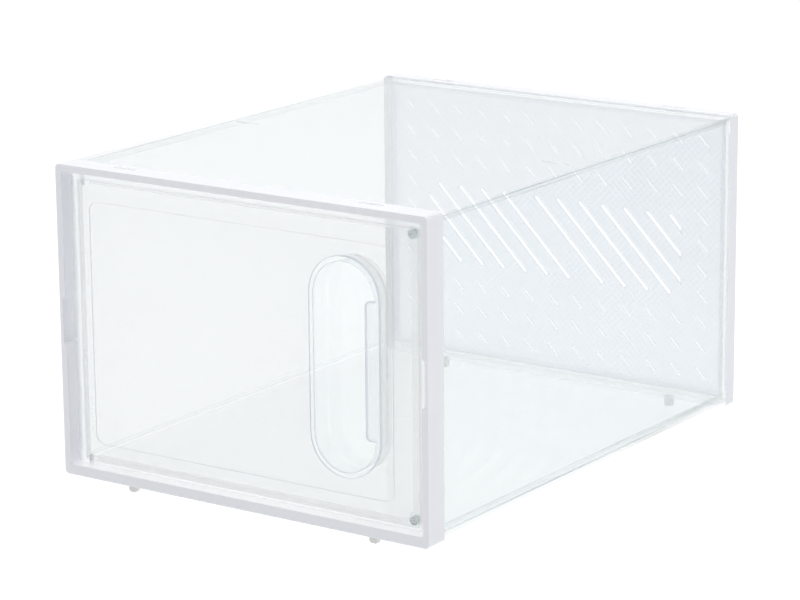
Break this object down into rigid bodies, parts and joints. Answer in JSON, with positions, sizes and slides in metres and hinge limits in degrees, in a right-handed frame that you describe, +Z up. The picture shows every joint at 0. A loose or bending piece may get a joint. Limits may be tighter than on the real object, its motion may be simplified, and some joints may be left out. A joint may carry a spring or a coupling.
{
  "type": "stacking shoe box",
  "caption": "Clear stacking shoe box with white end frames, a front door that swings on hinge pins, magnet catches, a moulded finger recess and a vented back.",
  "frame": {"origin": "centre of the box's outline at the level of the four stacking pegs' feet", "axes": "+X to the right as one faces the door, +Y from the door to the back, +Z up; the door is on the -Y side"},
  "size_m": [0.25, 0.33, 0.1865],
  "materials": {
    "frame_white": "smooth white polypropylene, slightly translucent",
    "clear_panel": "clear polypropylene sheet, faintly green at its edges",
    "clear_door": "clear moulded plastic, faintly hazy",
    "back_clear": "clear plastic with a fine textured face, faintly blue",
    "magnet_nickel": "nickel plated disc magnet",
    "pin_steel": "plain steel pin"
  },
  "bodies": {
    "box": {"front_frame": "frame_white", "rear_frame": "frame_white", "top_panel": "clear_panel", "bottom_panel": "clear_panel", "left_panel": "clear_panel", "right_panel": "clear_panel", "back_panel": "back_clear", "frame_magnet_top": "magnet_nickel", "frame_magnet_bottom": "magnet_nickel"},
    "door_leaf": {"door": "clear_door", "hinge_pin_top": "pin_steel", "hinge_pin_bottom": "pin_steel", "door_magnet_top": "magnet_nickel", "door_magnet_bottom": "magnet_nickel"}
  },
  "joints": [
    {"name": "door_hinge", "type": "hinge", "parent": "box", "child": "door_leaf", "pos_m": [-0.1134, -0.1555, 0.0955], "axis": [0, 0, -1], "range_deg": [0, 120]}
  ]
}
